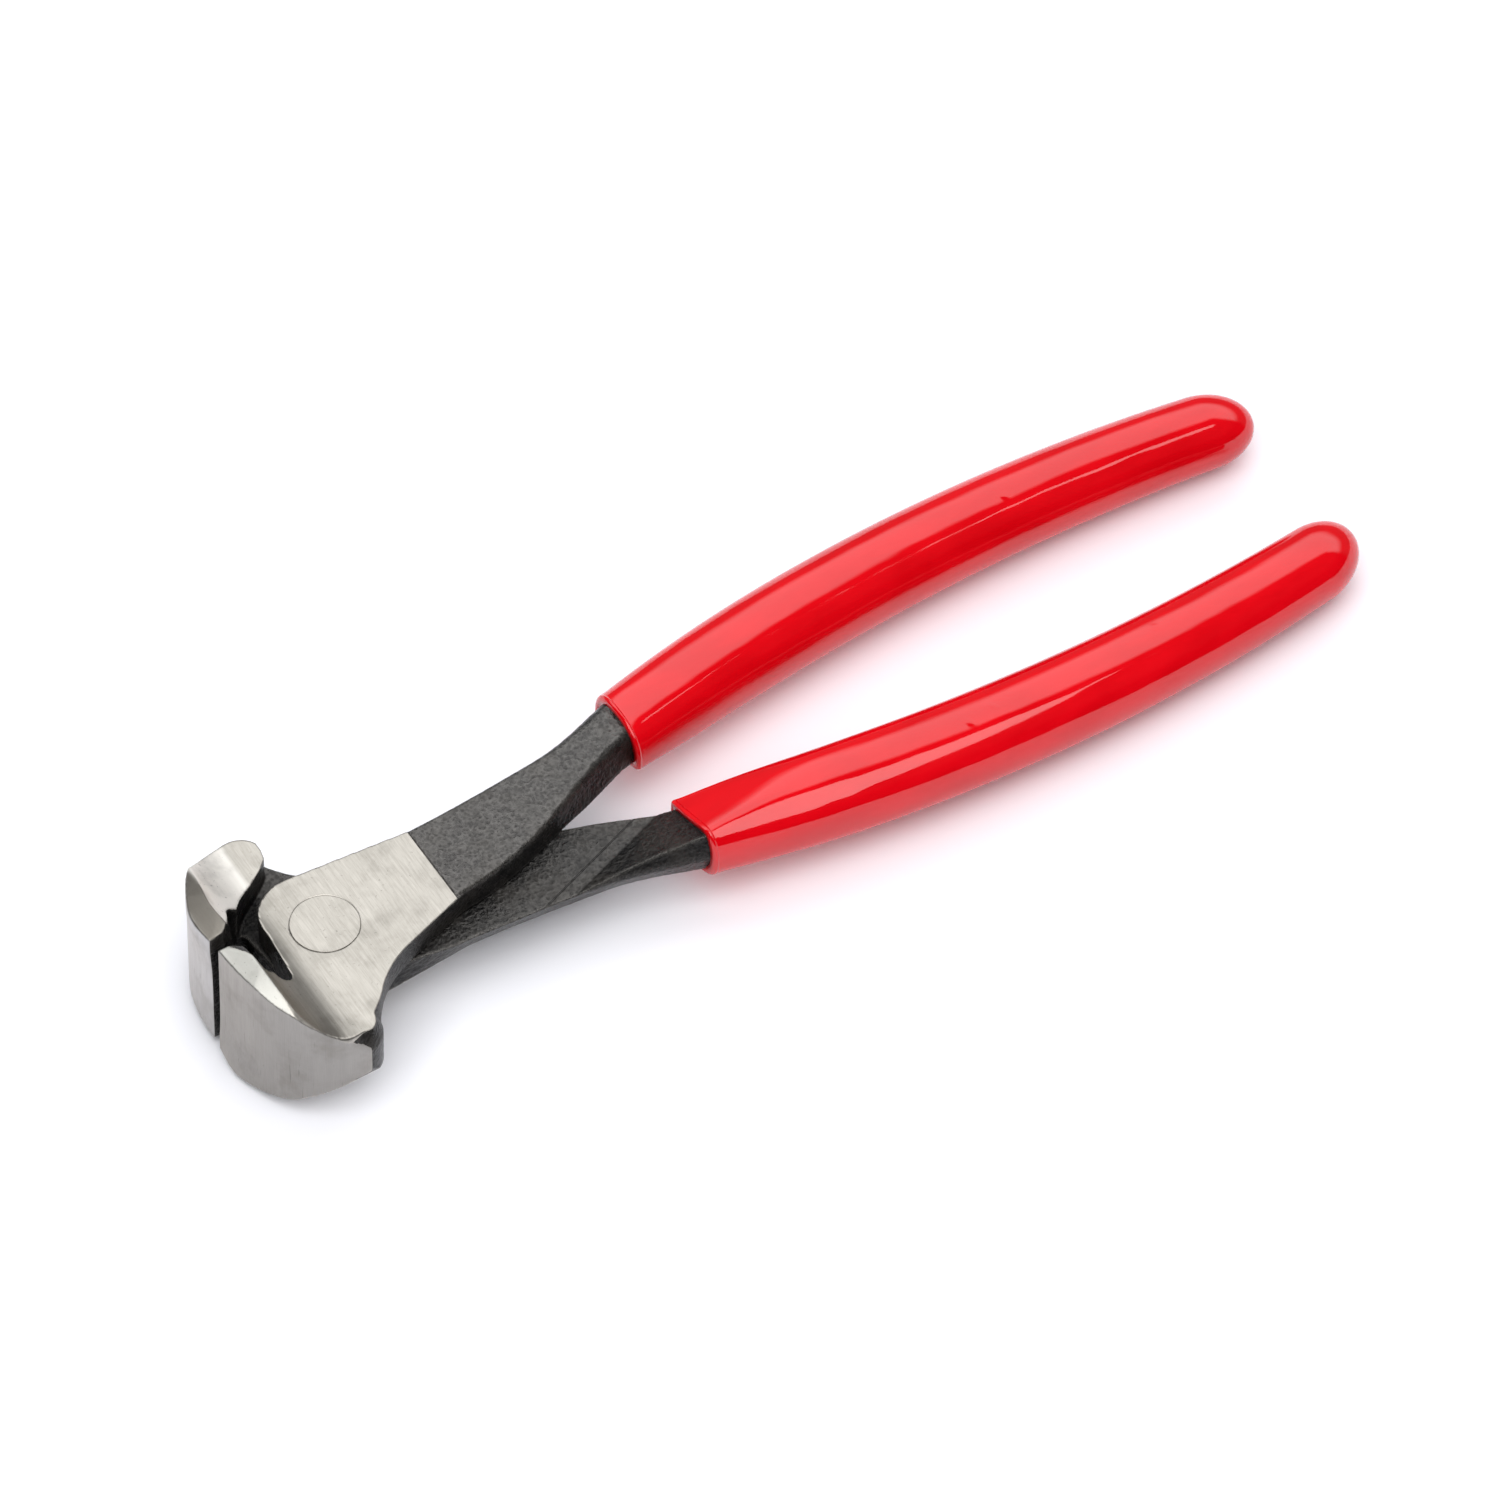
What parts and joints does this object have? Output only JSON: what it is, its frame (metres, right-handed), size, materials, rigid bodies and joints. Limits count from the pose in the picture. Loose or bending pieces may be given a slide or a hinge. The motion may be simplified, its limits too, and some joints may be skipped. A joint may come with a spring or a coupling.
{
  "type": "end cutting nippers",
  "caption": "Lap-joint end cutting nippers with ground hollowed jaws, black forged handles, a flush pivot rivet and dipped grips, shown slightly open.",
  "frame": {"origin": "centre of the tool's outline in plan, at the height of its lowest point, the lower rim of the jaws", "axes": "+X along the tool from the jaws to the ends of the grips, +Z along the pivot rivet, +Y across the handles"},
  "size_m": [0.205, 0.053, 0.0268],
  "materials": {
    "upper_steel": "ground jaw and joint faces over black oxide forging",
    "lower_steel": "ground jaw and joint faces over black oxide forging",
    "rivet_steel": "ground flush with the joint face",
    "red_vinyl": "glossy dipped vinyl"
  },
  "bodies": {
    "lower_half": {"lower_lever": "lower_steel", "pivot_rivet": "rivet_steel", "lower_grip": "red_vinyl"},
    "upper_half": {"upper_lever": "upper_steel", "upper_grip": "red_vinyl"}
  },
  "joints": [
    {"name": "pivot", "type": "hinge", "parent": "lower_half", "child": "upper_half", "pos_m": [-0.0827, 0, 0.0134], "axis": [0, 0, 1], "range_deg": [-5.4, 30]}
  ]
}
